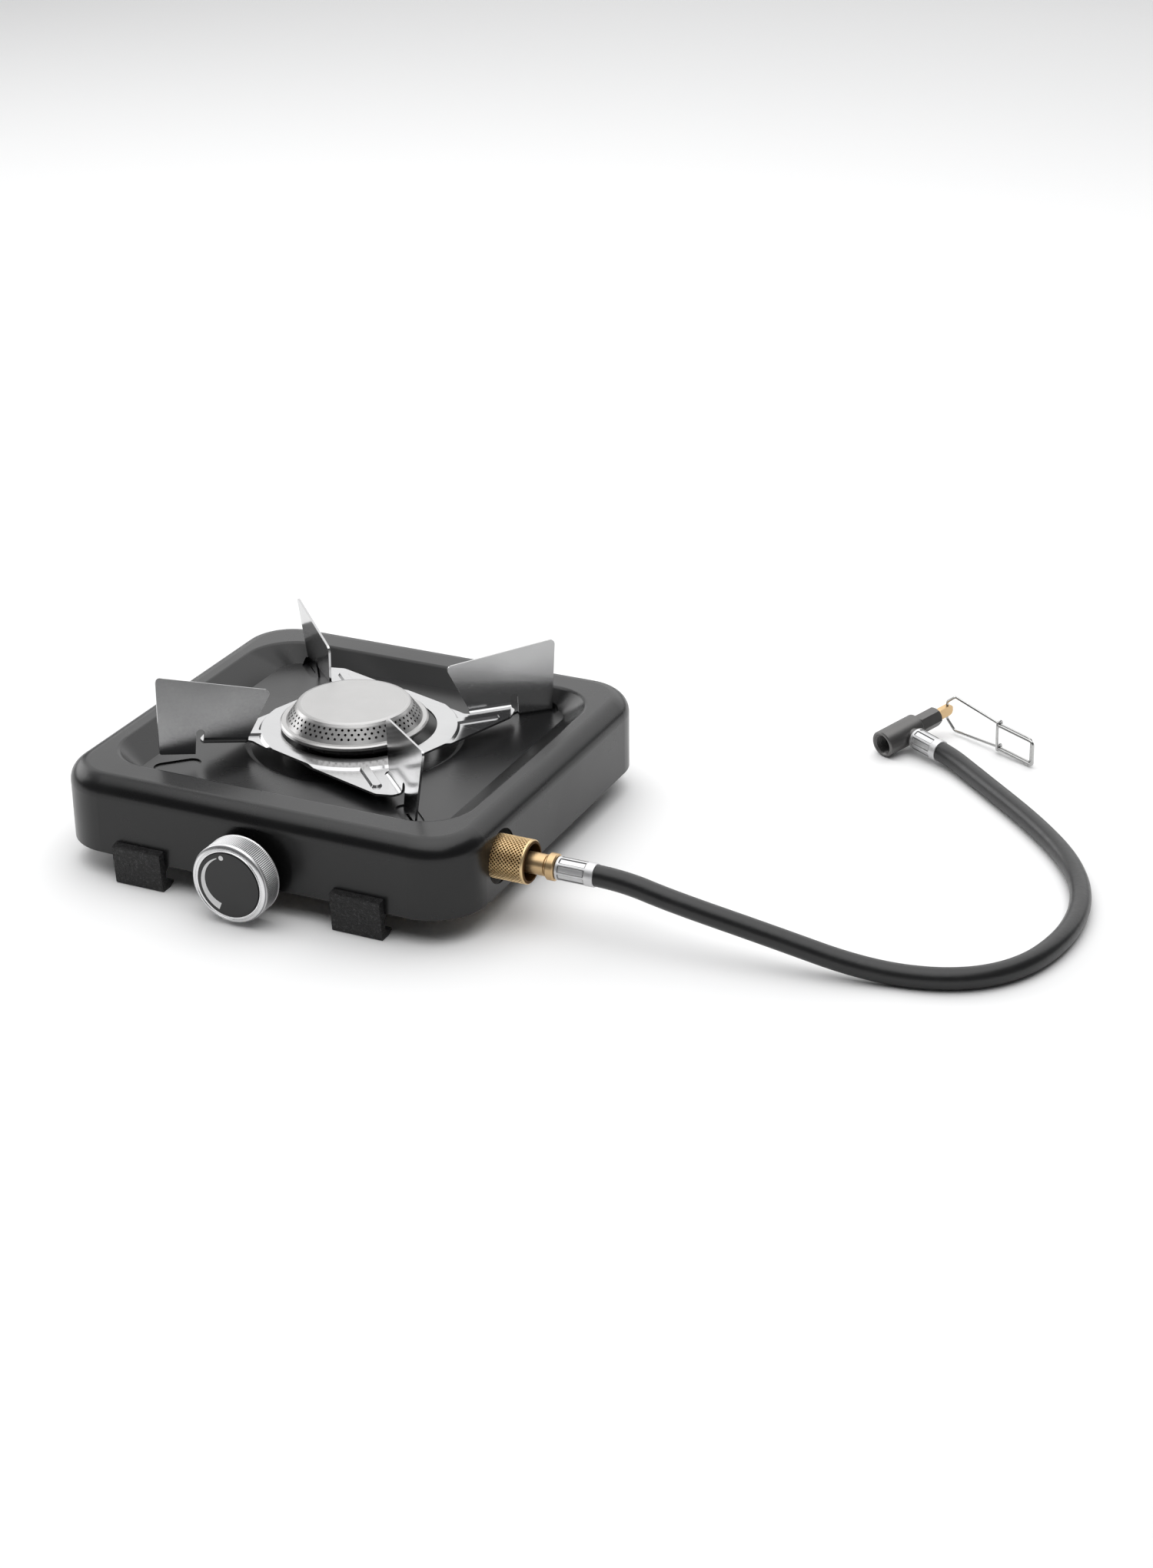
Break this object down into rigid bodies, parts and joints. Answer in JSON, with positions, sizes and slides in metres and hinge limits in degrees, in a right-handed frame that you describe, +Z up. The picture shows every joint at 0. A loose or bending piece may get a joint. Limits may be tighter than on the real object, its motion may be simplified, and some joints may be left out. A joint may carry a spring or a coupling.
{
  "type": "canister stove",
  "caption": "Low remote-canister camping stove: square black steel body, four-bladed pan support, round burner, front knob, and a hose to an angled cartridge valve.",
  "frame": {"origin": "centre of the stove's footprint (body, feet and knob, without the hose), on the surface it stands on", "axes": "+Z up; -Y is the front, with the knob; +X is the side the hose leaves from"},
  "size_m": [0.5045, 0.3677, 0.0931],
  "materials": {
    "black_coat": "matte black powder coat",
    "bright_sheet": "bright stainless sheet",
    "burner_steel": "satin stainless, pressed",
    "cast_alloy": "die cast",
    "small_steel": "plated",
    "brass": "machined",
    "ferrule_metal": "bright, crimped",
    "dark_anodised": "dark grey anodised",
    "knob_plastic": "satin black",
    "knob_metal": "bright turned, knurled side",
    "hose_rubber": "matte black",
    "foot_rubber": "textured black",
    "seal_rubber": "smooth",
    "wire_steel": "bright stainless wire"
  },
  "bodies": {
    "stove": {"body_shell": "black_coat", "pan_support": "bright_sheet", "burner_cap": "burner_steel", "burner_bowl": "cast_alloy", "burner_screws": "small_steel", "mixing_tube": "cast_alloy", "jet": "brass", "gas_valve_body": "cast_alloy", "gas_valve_nut": "small_steel", "gas_pipe": "small_steel", "pipe_nut_valve": "brass", "pipe_nut_inlet": "brass", "inlet_fitting": "brass", "inlet_nut": "small_steel", "inlet_bracket": "bright_sheet", "hose_tail": "brass", "ferrule_near": "ferrule_metal", "hose": "hose_rubber", "ferrule_far": "ferrule_metal", "cartridge_valve": "dark_anodised", "cartridge_seal": "seal_rubber", "opening_pin": "small_steel", "gland_nut": "dark_anodised", "foot_front_left": "foot_rubber", "foot_front_right": "foot_rubber", "foot_rear_left": "foot_rubber", "foot_rear_right": "foot_rubber"},
    "knob": {"knob_core": "knob_plastic", "knob_ring": "knob_metal", "gas_valve_spindle": "brass"},
    "collar": {"union_collar": "brass"},
    "stem": {"valve_stem": "brass"},
    "handle": {"wire_handle": "wire_steel"},
    "slider": {"handle_slider": "wire_steel"}
  },
  "joints": [
    {"name": "knob_turn", "type": "hinge", "parent": "stove", "child": "knob", "pos_m": [0, -0.10345, 0.0233], "axis": [0, -1, 0], "range_deg": [0, 180]},
    {"name": "collar_turn", "type": "hinge", "parent": "stove", "child": "collar", "pos_m": [0.1175, -0.05795, 0.033], "axis": [1, 0, 0], "continuous": true},
    {"name": "stem_turn", "type": "hinge", "parent": "stove", "child": "stem", "pos_m": [0.24835, 0.23721, 0.01344], "axis": [0.4351, 0.8921, 0.1219], "range_deg": [0, 540]},
    {"name": "handle_fold", "type": "hinge", "parent": "stem", "child": "handle", "pos_m": [0.24974, 0.24007, 0.01383], "axis": [0.0165, -0.1432, 0.9896], "range_deg": [-10, 186]},
    {"name": "handle_extension", "type": "slide", "parent": "handle", "child": "slider", "axis": [0.9132, -0.4009, -0.0732], "range_m": [0, 0.019]}
  ]
}
